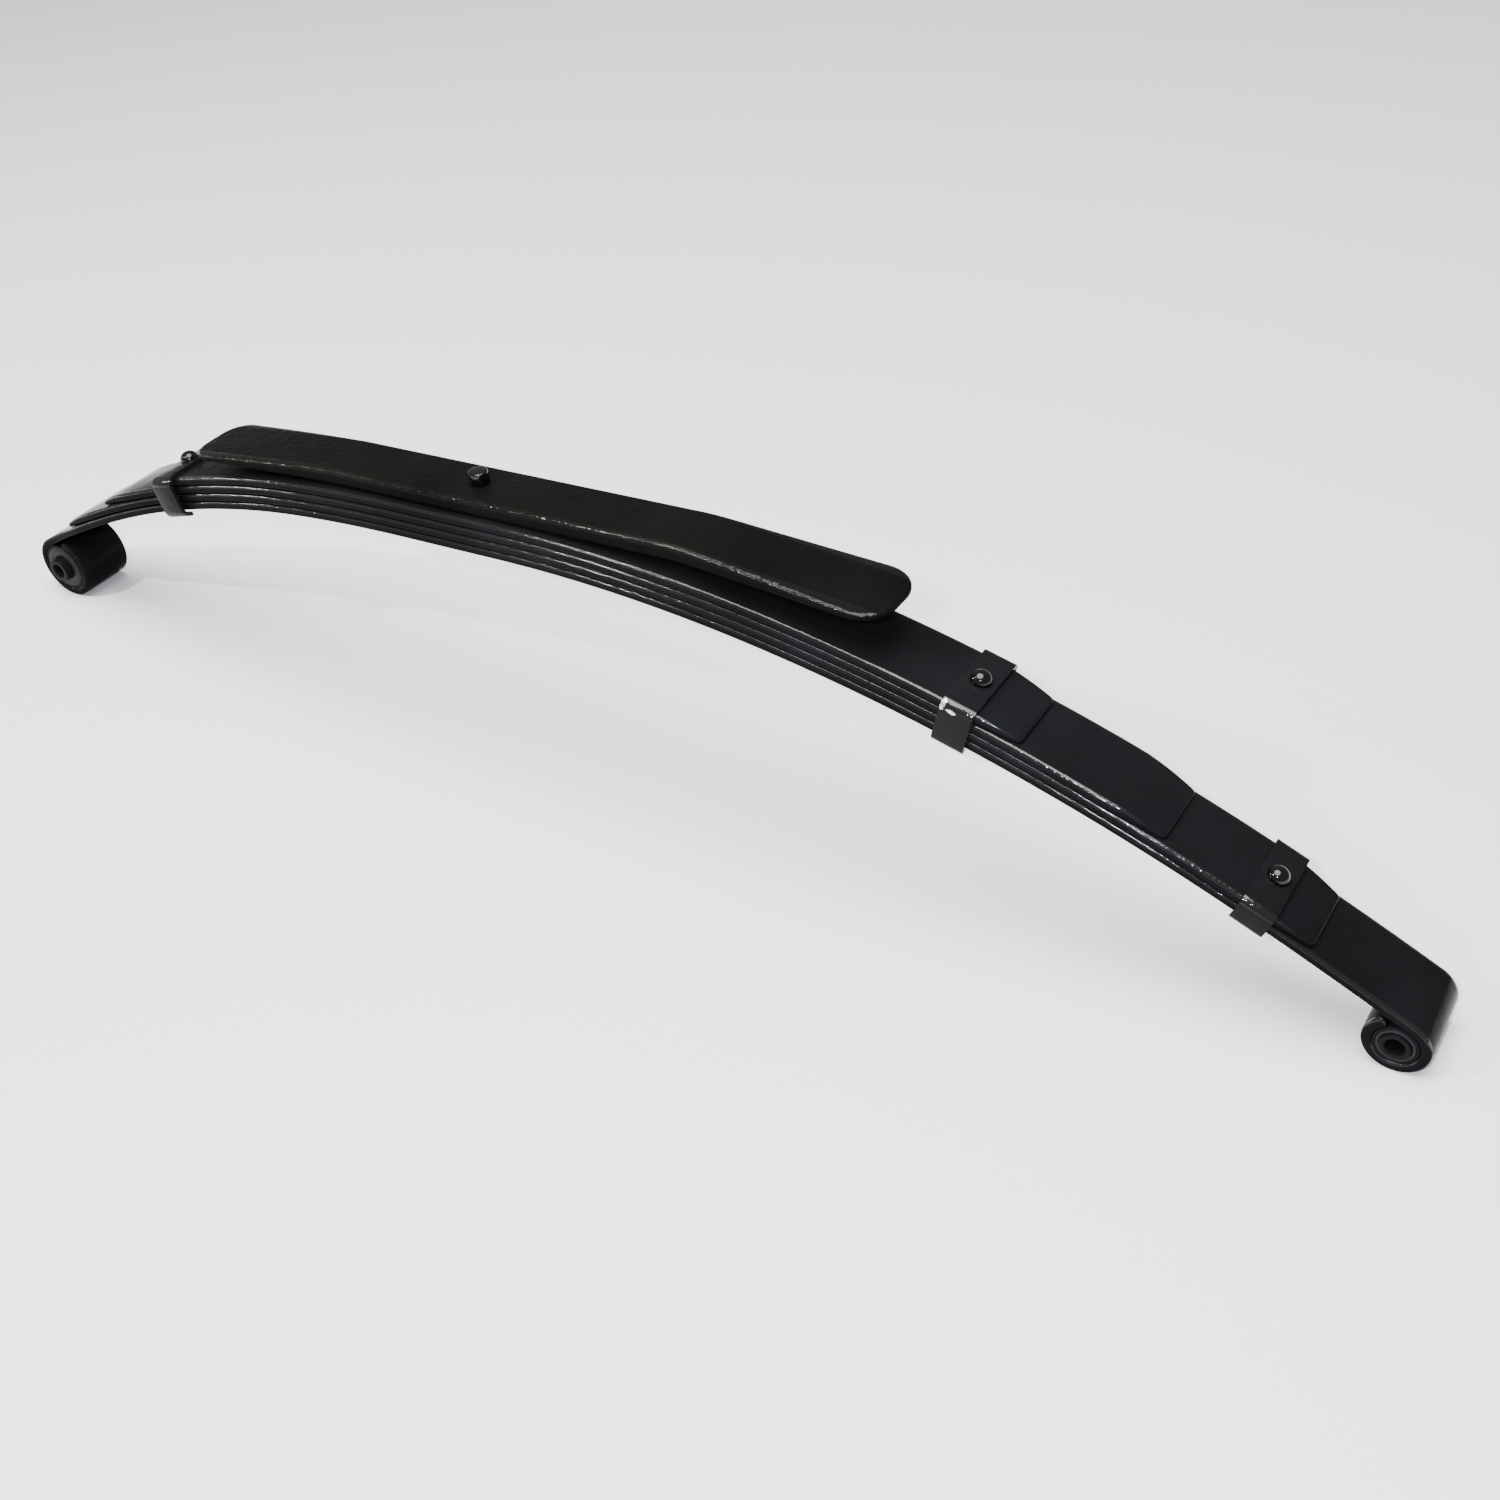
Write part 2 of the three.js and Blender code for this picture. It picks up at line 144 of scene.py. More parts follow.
# point and slope in the bolt's own frame; an arc of radius 0 is a straight run
def alongArcs(frontArcs, rearArcs, reach, lift):
    side = -1 if reach < 0 else 1
    left, x, z, turn = abs(reach), 0.0, 0.0, 0.0
    for length, radius in frontArcs if side < 0 else rearArcs:
        step = min(left, length)
        if radius == 0:
            x += step * cos(turn)
            z -= step * sin(turn)
        else:
            after = turn + step / radius
            x += radius * (sin(after) - sin(turn))
            z -= radius * (cos(turn) - cos(after))
            turn = after
        left -= step
        if left <= 0:
            break
    x += max(left, 0) * cos(turn)
    z -= max(left, 0) * sin(turn)
    slope = -side * turn
    return side * x - sin(slope) * lift, z + cos(slope) * lift, slope


def stand(x, z):  # from the bolt's own frame to the standing spring
    lean, (footX, footZ) = pack["lean"], pack["boltFoot"]
    across = x * cos(lean) - z * sin(lean) + footX
    return across, x * sin(lean) + z * cos(lean) + footZ


def onPack(reach, lift=0.0):
    x, z, slope = alongArcs(pack["frontArch"], pack["rearArch"], reach, lift)
    return (*stand(x, z), slope + pack["lean"])


def layAlong(obj, path):  # a straight piece takes the curve of its path
    for point in obj.data.vertices:
        x, z = path(point.co.x, point.co.z)
        point.co = (x, point.co.y, z)
    obj.data.update()


def setOnPack(obj, reach):  # a piece modelled at the origin is set square on the pack
    x, z, slope = onPack(reach)
    obj.rotation_euler = (0, -slope, 0)
    obj.location = (x, 0, z)
    return settle(obj)


def nodeIn(tree, kind, **inputs):
    node = tree.nodes.new(kind)
    for key, value in inputs.items():
        node.inputs[key.replace("_", " ")].default_value = value
    return node


def blankMaterial(name):
    material = bpy.data.materials.new(name)
    material.use_nodes = True
    tree = material.node_tree
    shader = tree.nodes["Principled BSDF"]
    place = nodeIn(tree, "ShaderNodeTexCoord")
    return material, tree, shader, place.outputs["Object"]


def noiseOn(tree, where, scale, detail=4.0, rough=0.55):
    noise = nodeIn(tree, "ShaderNodeTexNoise", Scale=scale, Detail=detail, Roughness=rough)
    tree.links.new(where, noise.inputs["Vector"])
    return noise.outputs["Fac"]


def ramp(tree, value, stops):
    node = tree.nodes.new("ShaderNodeValToRGB")
    while len(node.color_ramp.elements) < len(stops):
        node.color_ramp.elements.new(0.5)
    for element, (position, colour) in zip(node.color_ramp.elements, stops):
        element.position = position
        element.color = (*colour, 1)
    tree.links.new(value, node.inputs["Fac"])
    return node.outputs["Color"]


def between(tree, value, low, high, fromLow=0.0, fromHigh=1.0):
    node = nodeIn(
        tree, "ShaderNodeMapRange", From_Min=fromLow, From_Max=fromHigh, To_Min=low, To_Max=high
    )
    tree.links.new(value, node.inputs["Value"])
    return node.outputs["Result"]


def worked(tree, operation, first, second=None):
    node = tree.nodes.new("ShaderNodeMath")
    node.operation = operation
    tree.links.new(first, node.inputs[0])
    if second:
        tree.links.new(second, node.inputs[1])
    return node.outputs["Value"]


def bumpOn(tree, height, depth, strength, under=None):
    node = nodeIn(tree, "ShaderNodeBump", Strength=strength, Distance=depth)
    tree.links.new(height, node.inputs["Height"])
    if under:
        tree.links.new(under, node.inputs["Normal"])
    return node.outputs["Normal"]


def blackPaint(name, look):
    material, tree, shader, where = blankMaterial(name)
    cloud = noiseOn(tree, where, look["cloudScale"], 6)
    colours = list(zip(look["mottle"], (look["dark"], look["pale"])))
    tree.links.new(ramp(tree, cloud, colours), shader.inputs["Base Color"])
    sheen = noiseOn(tree, where, look["cloudScale"] * look["sheenFiner"], 5)
    shader.inputs["Specular IOR Level"].default_value = look["specular"]
    normal = bumpOn(tree, noiseOn(tree, where, look["waveScale"], 2), look["waveDepth"], 1.0)
    grain = noiseOn(tree, where, look["grainScale"], 3)
    normal = bumpOn(tree, grain, look["grainDepth"], 1.0, normal)

    # wetter paint with small runs along both long edges, on faces that look up
    parts = tree.nodes.new("ShaderNodeSeparateXYZ")
    tree.links.new(where, parts.inputs["Vector"])
    out = worked(tree, "ABSOLUTE", parts.outputs["Y"])
    facing = tree.nodes.new("ShaderNodeNewGeometry")
    tilt = tree.nodes.new("ShaderNodeSeparateXYZ")
    tree.links.new(facing.outputs["Normal"], tilt.inputs["Vector"])
    atEdge = between(tree, out, 0, 1, *look["rimAt"])
    upward = between(tree, tilt.outputs["Z"], 0, 1, *look["rimTilt"])
    rim = worked(tree, "MULTIPLY", atEdge, upward)
    sway = between(tree, noiseOn(tree, where, look["runScale"], 3), -1, 1)
    normal = bumpOn(tree, worked(tree, "MULTIPLY", rim, sway), look["runDepth"], 1.0, normal)
    low, high = look["roughness"]
    gloss = between(tree, rim, 1, look["rimGloss"])
    dull = worked(tree, "MULTIPLY", gloss, between(tree, sheen, low, high, *look["mottle"]))
    tree.links.new(dull, shader.inputs["Roughness"])
    plain = between(
        tree, tilt.outputs["Z"], look["sideSpecular"], look["specular"], *look["sideTilt"]
    )
    wet = between(tree, rim, 0, look["rimSpecular"] - look["specular"])
    tree.links.new(worked(tree, "ADD", plain, wet), shader.inputs["Specular IOR Level"])
    tree.links.new(normal, shader.inputs["Normal"])
    return material


leafPaintLook = {
    "dark": (0.0038, 0.0041, 0.0045),
    "pale": (0.0074, 0.0078, 0.0086),
    "cloudScale": 9.0,
    "mottle": (0.3, 0.7),  # noise levels where the dark and the pale end
    "sheenFiner": 2.3,
    "roughness": (0.14, 0.26),
    "specular": 0.03,
    "sideSpecular": 0.004,
    "sideTilt": (0.0, 0.4),
    "waveScale": 38.0,
    "waveDepth": 0.0006,
    "grainScale": 420.0,
    "grainDepth": 0.00004,
    "rimAt": (0.0280, 0.0295),  # metres out from the middle; past the piece, no rim
    "rimTilt": (0.2, 0.5),
    "rimGloss": 0.4,
    "rimSpecular": 0.5,
    "runScale": 330.0,
    "runDepth": 0.00016,
}
overloadLook = dict(
    leafPaintLook,
    dark=(0.0022, 0.0024, 0.0019),
    pale=(0.0048, 0.0051, 0.0042),
    roughness=(0.24, 0.4),
    rimSpecular=0.2,
    rimAt=(0.0225, 0.0240),
    waveScale=150.0,
    waveDepth=0.0008,
    grainScale=620.0,
    grainDepth=0.00012,
)
fastenerLook = dict(
    leafPaintLook,
    dark=(0.0014, 0.0015, 0.0018),
    pale=(0.003, 0.0032, 0.0038),
    roughness=(0.06, 0.12),
    specular=0.4,
    sideSpecular=0.3,
    rimAt=(0.050, 0.051),
    waveScale=120.0,
    waveDepth=0.00004,
)
clipLook = dict(
    leafPaintLook,
    roughness=(0.1, 0.22),
    specular=0.07,
    sideSpecular=0.05,
    waveScale=60.0,
    rimAt=(0.0300, 0.0315),
)
bushLook = dict(
    leafPaintLook,
    pale=(0.006, 0.0062, 0.0068),
    roughness=(0.3, 0.45),
    sideSpecular=0.03,
    rimAt=(0.050, 0.051),
)

leafPaint = blackPaint("leafPaint", leafPaintLook)
overloadPaint = blackPaint("overloadPaint", overloadLook)
fastenerPaint = blackPaint("fastenerPaint", fastenerLook)
bushPaint = blackPaint("bushPaint", bushLook)


def chippedPaint(name, look, chips):  # paint with bare bright metal where the chips are
    material = blackPaint(name, look)
    tree = material.node_tree
    paint = tree.nodes["Principled BSDF"]
    where = nodeIn(tree, "ShaderNodeTexCoord").outputs["Object"]
    ragged = noiseOn(tree, where, chips["raggedScale"], 4.0, 0.5)
    bare = None
    for spot in chips["spots"]:
        centre = nodeIn(tree, "ShaderNodeMapping", Rotation=spot["turn"])
        centre.vector_type = "TEXTURE"
        centre.inputs["Location"].default_value = spot["at"]
        centre.inputs["Scale"].default_value = spot["size"]
        tree.links.new(where, centre.inputs["Vector"])
        away = nodeIn(tree, "ShaderNodeVectorMath")
        away.operation = "LENGTH"
        tree.links.new(centre.outputs["Vector"], away.inputs[0])
        sway = between(tree, ragged, -chips["raggedness"], chips["raggedness"])
        edge = worked(tree, "ADD", away.outputs["Value"], sway)
        inside = between(tree, edge, 1.0, 0.0, *chips["edge"])
        bare = worked(tree, "MAXIMUM", bare, inside) if bare else inside
    metal = nodeIn(tree, "ShaderNodeBsdfPrincipled", Metallic=1.0)
    scratch = noiseOn(tree, where, chips["raggedScale"] * chips["scratchFiner"], 5)
    colours = list(zip(look["mottle"], chips["metal"]))
    tree.links.new(ramp(tree, scratch, colours), metal.inputs["Base Color"])
    tree.links.new(between(tree, scratch, *chips["metalRoughness"]), metal.inputs["Roughness"])
    mix = tree.nodes.new("ShaderNodeMixShader")
    tree.links.new(bare, mix.inputs["Fac"])
    tree.links.new(paint.outputs["BSDF"], mix.inputs[1])
    tree.links.new(metal.outputs["BSDF"], mix.inputs[2])
    tree.links.new(mix.outputs["Shader"], tree.nodes["Material Output"].inputs["Surface"])
    return material


rubberLook = {
    "dark": (0.005, 0.005, 0.0055),
    "pale": (0.013, 0.013, 0.0145),
    "mottle": (0.3, 0.7),
    "dustScale": 60.0,
    "roughness": (0.45, 0.65),
    "specular": 0.12,
    "poreScale": 700.0,
    "poreDepth": 0.00008,
}


def dustyRubber(name, look):
    material, tree, shader, where = blankMaterial(name)
    cloud = noiseOn(tree, where, look["dustScale"], 6)
    colours = list(zip(look["mottle"], (look["dark"], look["pale"])))
    tree.links.new(ramp(tree, cloud, colours), shader.inputs["Base Color"])
    dull = between(tree, cloud, *look["roughness"], *look["mottle"])
    tree.links.new(dull, shader.inputs["Roughness"])
    shader.inputs["Specular IOR Level"].default_value = look["specular"]
    normal = bumpOn(tree, noiseOn(tree, where, look["poreScale"], 4), look["poreDepth"], 1.0)
    tree.links.new(normal, shader.inputs["Normal"])
    return material


bushRubber = dustyRubber("bushRubber", rubberLook)


def wear(obj, material, slot):
    obj.data.materials.clear()
    obj.data.materials.append(material)


print("materials made")


leaves = {
    "second_leaf": {"level": 1, "front": 0.531, "rear": 0.697},
    "third_leaf": {"level": 2, "front": 0.454, "rear": 0.581},
    "fourth_leaf": {"level": 3, "front": 0.364, "rear": 0.469},
}
leafShape = {
    "stationStep": 0.008,
    "cornerRadius": 0.004,
    "cornerRounds": 6,
    "edgeRadius": 0.0027,
    "edgeRounds": 4,
    "tipTaper": 0.036,
    "tipThickness": 0.0036,
    "tipNarrowing": 0.042,
    "tipHalfWidth": 0.0270,
}
flex = {  # start and end reaches for each half of the pack; the points there are worked out but not put to use
    "frontStart": -0.004,
    "frontEnd": -0.318,
    "rearStart": 0.004,
    "rearEnd": 0.404,
}


def straightBar(name, fromX, toX, floorZ, shape):
    startClean()
    width, thickness = pack["leafWidth"], pack["leafThickness"]
    cuts = ceil((toX - fromX) / shape["stationStep"])
    bpy.ops.mesh.primitive_grid_add(
        x_subdivisions=cuts, y_subdivisions=2, size=1, location=((fromX + toX) / 2, 0, floorZ)
    )
    bar = named(name)
    bar.scale = (toX - fromX, width, 1)
    settle(bar)
    pickFaces(bar, lambda face: True)
    bpy.ops.mesh.extrude_region_move(TRANSFORM_OT_translate={"value": (0, 0, thickness)})
    bpy.ops.object.mode_set(mode="OBJECT")
    faceOut(bar)
    if "cornerRadius" in shape:
        pickEdges(
            bar,
            lambda a, b: abs(a.z - b.z) > thickness / 2
            and abs(abs(a.y) - width / 2) < samePlace
            and min(abs(a.x - fromX), abs(a.x - toX)) < samePlace,
        )
        bpy.ops.mesh.bevel(
            offset=shape["cornerRadius"], segments=shape["cornerRounds"], profile=0.5
        )
        bpy.ops.object.mode_set(mode="OBJECT")
    easeSharpEdges(bar, shape["edgeRadius"], shape["edgeRounds"])
    return bar


def halves(bar):  # cut at the centre bolt into a front half and a rear half
    rear = bar.copy()
    rear.data = bar.data.copy()
    bpy.context.collection.objects.link(rear)
    for half, keepRear in ((bar, False), (rear, True)):
        pickFaces(half, lambda face: True)
        bpy.ops.mesh.bisect(
            plane_co=(0, 0, 0),
            plane_no=(1, 0, 0),
            use_fill=True,
            clear_inner=keepRear,
            clear_outer=not keepRear,
        )
        bpy.ops.object.mode_set(mode="OBJECT")
    bar.name += "Front"
    rear.name = bar.name.replace("Front", "Rear")
    return bar, rear


def bendWithEnds(frontHalf, rearHalf, node):
    for half, end, start, stop in (
        (frontHalf, "front_end", flex["frontStart"], flex["frontEnd"]),
        (rearHalf, "rear_end", flex["rearStart"], flex["rearEnd"]),
    ):
        startX, startZ, _ = onPack(start)
        stopX, stopZ, _ = onPack(stop)
        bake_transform(half)
        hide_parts(node)


def makePackLeaf(node, leaf):
    floorZ = leaf["level"] * leafPitch
    bar = straightBar(node, -leaf["front"], leaf["rear"], floorZ, leafShape)
    narrow = leafShape["tipHalfWidth"] / (pack["leafWidth"] / 2)
    thin = leafShape["tipThickness"] / pack["leafThickness"]
    for point in bar.data.vertices:
        inset = min(point.co.x + leaf["front"], leaf["rear"] - point.co.x)
        draw = min(1, max(0, inset / leafShape["tipNarrowing"]))
        press = sin(min(1, max(0, inset / leafShape["tipTaper"])) * pi / 2)
        point.co.y *= narrow + (1 - narrow) * draw
        point.co.z = floorZ + (point.co.z - floorZ) * (thin + (1 - thin) * press)
    frontHalf, rearHalf = halves(bar)
    for half in (frontHalf, rearHalf):
        layAlong(half, lambda x, z: onPack(x, z)[:2])
        smooth(half)
        wear(half, leafPaint, "leaf_paint")
    bendWithEnds(frontHalf, rearHalf, node)


for node, leaf in leaves.items():
    makePackLeaf(node, leaf)
print("short leaves made")

mainLeaf = {
    "frontReach": 0.586,
    "rearReach": 0.778,
    "frontEyeRadius": 0.0308,
    "rearEyeRadius": 0.0232,
    "frontWrap": radians(314),
    "rearWrap": radians(306),
    "frontEyeHalfWidth": 0.0260,
    "narrowFrom": -0.510,
    "narrowTo": -0.575,
    "stationStep": 0.0026,
    "edgeRadius": 0.0022,
    "edgeRounds": 4,
}


def eyePath(x, z):  # round an eye once past its reach, the leaf's top staying outside
    if x > 0:
        reach, radius, side = mainLeaf["rearReach"], mainLeaf["rearEyeRadius"], 1
    else:
        reach, radius, side = -mainLeaf["frontReach"], mainLeaf["frontEyeRadius"], -1
    if abs(x) <= abs(reach):
        return onPack(x, z)[:2]
    turn = (abs(x) - abs(reach)) / radius
    centreX, centreZ, slope = onPack(reach, pack["leafThickness"] - radius)
    depth = radius - pack["leafThickness"] + z
    up, out = depth * cos(turn), side * depth * sin(turn)
    x = centreX - sin(slope) * up + cos(slope) * out
    return x, centreZ + cos(slope) * up + sin(slope) * out


def makeMainLeaf():
    frontTip = -mainLeaf["frontReach"] - mainLeaf["frontWrap"] * mainLeaf["frontEyeRadius"]
    rearTip = mainLeaf["rearReach"] + mainLeaf["rearWrap"] * mainLeaf["rearEyeRadius"]
    bar = straightBar("main_leaf", frontTip, rearTip, 0, mainLeaf)
    narrow = mainLeaf["frontEyeHalfWidth"] / (pack["leafWidth"] / 2)
    narrowRun = mainLeaf["narrowTo"] - mainLeaf["narrowFrom"]
    for point in bar.data.vertices:
        part = min(1, max(0, (point.co.x - mainLeaf["narrowFrom"]) / narrowRun))
        point.co.y *= 1 + (narrow - 1) * part * part * (3 - 2 * part)
    frontHalf, rearHalf = halves(bar)
    for half in (frontHalf, rearHalf):
        layAlong(half, eyePath)
        smooth(half)
        wear(half, leafPaint, "leaf_paint")
    bendWithEnds(frontHalf, rearHalf, "main_leaf")


makeMainLeaf()
print("main leaf made")

overload = {
    "thickness": 0.0145,
    "halfWidth": 0.0268,
    "edgeRadius": 0.0046,
    "edgeRounds": 7,
    "cornerRounds": 14,
    "stationStep": 0.012,
    "frontArcs": [(0.142, 0), (0.160, 3.400)],
    "rearArcs": [(0.195, 0), (0.020, 0.291), (0.155, 0)],
    "front": {"thinFrom": 0.142, "thinning": 0.053, "flare": 0.0262, "corner": 0.022},
    "rear": {"thinFrom": 0.195, "thinning": 0.0515, "flare": 0.043, "corner": 0.027},
}


def overloadPath(x, z):
    lift = 3 * leafPitch + pack["leafThickness"] + pack["leafGap"]
    along, up, _ = alongArcs(overload["frontArcs"], overload["rearArcs"], x, z)
    return stand(along, up + lift)


def cutAcross(obj, places):  # rings of edges, so that the piece can bend there
    pickFaces(obj, lambda face: True)
    for place in places:
        bpy.ops.mesh.select_all(action="SELECT")
        bpy.ops.mesh.bisect(plane_co=(place, 0, 0), plane_no=(1, 0, 0))
    bpy.ops.object.mode_set(mode="OBJECT")


def makeOverload():
    front, rear = overload["front"], overload["rear"]
    frontEnd = -sum(length for length, _ in overload["frontArcs"])
    rearEnd = sum(length for length, _ in overload["rearArcs"])
    half, thick = overload["halfWidth"], overload["thickness"]
    startClean()
    bpy.ops.mesh.primitive_plane_add(size=1, location=((frontEnd + rearEnd) / 2, 0, 0))
    bar = named("overloadLeaf")
    bar.scale = (rearEnd - frontEnd, 2 * half, 1)
    settle(bar)
    cutAcross(bar, (-front["thinFrom"], rear["thinFrom"]))
    for end, tip in ((front, frontEnd), (rear, rearEnd)):
        editMode(bar, "VERT")
        for point in bar.data.vertices:
            point.select = abs(point.co.x - tip) < samePlace
        bpy.ops.object.mode_set(mode="EDIT")
        widen = 1 + end["flare"] * (abs(tip) - end["thinFrom"]) / half
        bpy.ops.transform.resize(value=(1, widen, 1))
        bpy.ops.mesh.bevel(
            offset=end["corner"], segments=overload["cornerRounds"], affect="VERTICES"
        )
        bpy.ops.object.mode_set(mode="OBJECT")
    pickFaces(bar, lambda face: True)
    bpy.ops.mesh.extrude_region_move(TRANSFORM_OT_translate={"value": (0, 0, thick)})
    bpy.ops.object.mode_set(mode="OBJECT")
    faceOut(bar)
    applied(
        bar,
        "BEVEL",
        width=overload["edgeRadius"],
        segments=overload["edgeRounds"],
        limit_method="ANGLE",
        angle_limit=radians(cornerAngle),
        use_clamp_overlap=False,
    )
    stations = ceil((rearEnd - frontEnd) / overload["stationStep"])
    cutAcross(bar, [frontEnd + (rearEnd - frontEnd) * i / stations for i in range(1, stations)])
    for point in bar.data.vertices:
        end = front if point.co.x < 0 else rear
        past = max(0, abs(point.co.x) - end["thinFrom"])
        point.co.z *= 1 - end["thinning"] * past / thick
    layAlong(bar, overloadPath)
    smooth(bar)
    wear(bar, overloadPaint, "overload_paint")
    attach(bar, "pack")
    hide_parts("overload_leaf")


makeOverload()
print("overload leaf made")

bolt = {
    "sides": 64,
    "headRadius": 0.0079,
    "headHeight": 0.0105,
    "headEase": 0.0013,
    "shankRadius": 0.005,
    "tail": 0.015,
    "nutAcrossFlats": 0.017,
    "nutHeight": 0.009,
    "nutEase": 0.0006,
}


def makeCentreBolt():
    onLeaves = 3 * leafPitch + pack["leafThickness"] + pack["leafGap"]
    seat = onLeaves + overload["thickness"] + pack["leafGap"]
    startClean()
    bpy.ops.mesh.primitive_cylinder_add(
        vertices=bolt["sides"],
        radius=bolt["headRadius"],
        depth=bolt["headHeight"],
        location=(0, 0, seat + bolt["headHeight"] / 2),
    )
    head = settle(named("centreBolt"))
    easeSharpEdges(head, bolt["headEase"], 4)
    pickFaces(head, lambda face: face.normal.z < -squareOn and len(face.vertices) > roundCap)
    bpy.ops.mesh.inset(thickness=bolt["headRadius"] - bolt["headEase"] - bolt["shankRadius"])
    bpy.ops.mesh.extrude_region_move(
        TRANSFORM_OT_translate={"value": (0, 0, -seat - bolt["tail"])}
    )
    bpy.ops.object.mode_set(mode="OBJECT")
    faceOut(head)
    setOnPack(head, 0)
    smooth(head)
    wear(head, fastenerPaint, "fastener_paint")
    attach(head, "pack")
    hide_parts("centre_bolt")


def makeNut():
    startClean()
    height = bolt["nutHeight"]
    corner = bolt["nutAcrossFlats"] / 2 / cos(pi / 6)
    bpy.ops.mesh.primitive_cylinder_add(
        vertices=6,
        radius=corner,
        depth=height,
        location=(0, 0, -pack["leafGap"] - height / 2),
        rotation=(0, 0, pi / 2),
    )
    nut = settle(named("centreNut"))
    easeSharpEdges(nut, bolt["nutEase"], 3)
    setOnPack(nut, 0)
    smooth(nut)
    wear(nut, fastenerPaint, "fastener_paint")
    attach(nut, "pack")
    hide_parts("centre_bolt_nut")


makeCentreBolt()
makeNut()
print("centre bolt made")

rearClip = {"sideGap": 0.0005, "topBend": 0.0052, "footBend": 0.0036, "body": "rear_end"}
clips = {
    "front": {
        "reach": -0.338,
        "level": 3,
        "sideGap": 0.0045,
        "topBend": 0.0085,
        "footBend": 0.0072,
        "body": "front_end",
    },
    "rear_inner": dict(rearClip, reach=0.423, level=3),
    "rear_outer": dict(rearClip, reach=0.6545, level=1),
}
clipShape = {
    "thickness": 0.0032,
    "width": 0.025,
    "reachBelow": 0.0030,  # middle of the strap's foot under the main leaf
    "lipAt": 0.0292,
    "lipDrop": 0.0006,
    "footCorner": 0.0022,
    "edgeEase": 0.0007,
}
rivetShape = {
    "sides": 48,
    "rings": 32,
    "headRadius": 0.008,
    "headHeight": 0.0069,
    "rim": 0.0006,
    "shankRadius": 0.004,
}
chipX, chipZ, chipSlope = onPack(0.4125, 0.031)
chipTurn = (0, -chipSlope, 0)
chips = {
    "raggedScale": 420.0,
    "raggedness": 0.9,
    "edge": (0.85, 1.0),
    "scratchFiner": 3,
    "metal": ((0.45, 0.45, 0.44), (0.8, 0.8, 0.79)),
    "metalRoughness": (0.3, 0.5),
    "spots": [
        {"at": (chipX, -0.0345, chipZ), "size": (0.0020, 0.0040, 0.0048), "turn": chipTurn},
        {
            "at": (chipX + 0.006, -0.0352, chipZ - 0.0045),
            "size": (0.0044, 0.0030, 0.0014),
            "turn": chipTurn,
        },
    ],
}
clipPaint = chippedPaint("clipPaint", clipLook, chips)


def makeClip(place, clip):
    startClean()
    thick, lip = clipShape["thickness"], clipShape["lipAt"]
    half = pack["leafWidth"] / 2 + clip["sideGap"] + thick / 2
    top = clip["level"] * leafPitch + pack["leafThickness"] + pack["leafGap"] + thick / 2
    bpy.ops.mesh.primitive_plane_add(size=1, location=(0, 0, top))
    strap = named("clip_" + place)
    strap.scale = (clipShape["width"], 2 * half, 1)
    settle(strap)
    drop = top + clipShape["reachBelow"]
    for side in (-1, 1):
        edge = side * half
        pickEdges(strap, lambda a, b: abs(a.y - edge) < samePlace and abs(b.y - edge) < samePlace)
        for move in ((0, 0, -drop), (0, side * (lip - half), -clipShape["lipDrop"])):
            bpy.ops.mesh.extrude_region_move(TRANSFORM_OT_translate={"value": move})
        bpy.ops.object.mode_set(mode="OBJECT")
    for level, bend, rounds in ((top, clip["topBend"], 7), (top - drop, clip["footBend"], 5)):
        pickEdges(
            strap,
            lambda a, b: abs(abs(a.y) - half) < samePlace
            and abs(a.y - b.y) < samePlace
            and abs(a.z - level) < samePlace
            and abs(b.z - level) < samePlace,
        )
        bpy.ops.mesh.bevel(offset=bend, segments=rounds, profile=0.5)
        bpy.ops.object.mode_set(mode="OBJECT")
    editMode(strap, "VERT")
    for point in strap.data.vertices:
        point.select = abs(abs(point.co.y) - lip) < samePlace and point.co.z < 0
    bpy.ops.object.mode_set(mode="EDIT")
    bpy.ops.mesh.bevel(offset=clipShape["footCorner"], segments=4, affect="VERTICES")
    bpy.ops.object.mode_set(mode="OBJECT")
    faceOut(strap)
    applied(strap, "SOLIDIFY", thickness=thick, offset=0, use_even_offset=True)
    applied(
        strap,
        "BEVEL",
        width=clipShape["edgeEase"],
        segments=3,
        limit_method="ANGLE",
        angle_limit=radians(cornerAngle),
    )
    setOnPack(strap, clip["reach"])
    smooth(strap)
    wear(strap, clipPaint, "clip_paint")
    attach(strap, clip["body"])
    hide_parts("clip_" + place)


def makeRivet():  # at the origin, its seat at z = 0
    startClean()
    radius, rim = rivetShape["headRadius"], rivetShape["rim"]
    bpy.ops.mesh.primitive_uv_sphere_add(
        segments=rivetShape["sides"], ring_count=rivetShape["rings"], radius=radius
    )
    rivet = named("rivet")
    rivet.scale = (1, 1, rivetShape["headHeight"] / radius)
    rivet.location = (0, 0, rim)
    settle(rivet)
    pickFaces(rivet, lambda face: True)
    bpy.ops.mesh.bisect(
        plane_co=(0, 0, rim), plane_no=(0, 0, 1), use_fill=True, clear_inner=True
    )
    bpy.ops.object.mode_set(mode="OBJECT")
    pickFaces(rivet, lambda face: face.normal.z < -squareOn and len(face.vertices) > roundCap)
    bpy.ops.mesh.extrude_region_move(TRANSFORM_OT_translate={"value": (0, 0, -rim)})
    bpy.ops.mesh.inset(thickness=radius - rivetShape["shankRadius"])
    shank = pack["leafThickness"] + pack["leafGap"] + clipShape["thickness"]
    bpy.ops.mesh.extrude_region_move(TRANSFORM_OT_translate={"value": (0, 0, -shank)})
    bpy.ops.object.mode_set(mode="OBJECT")
    faceOut(rivet)
    return rivet


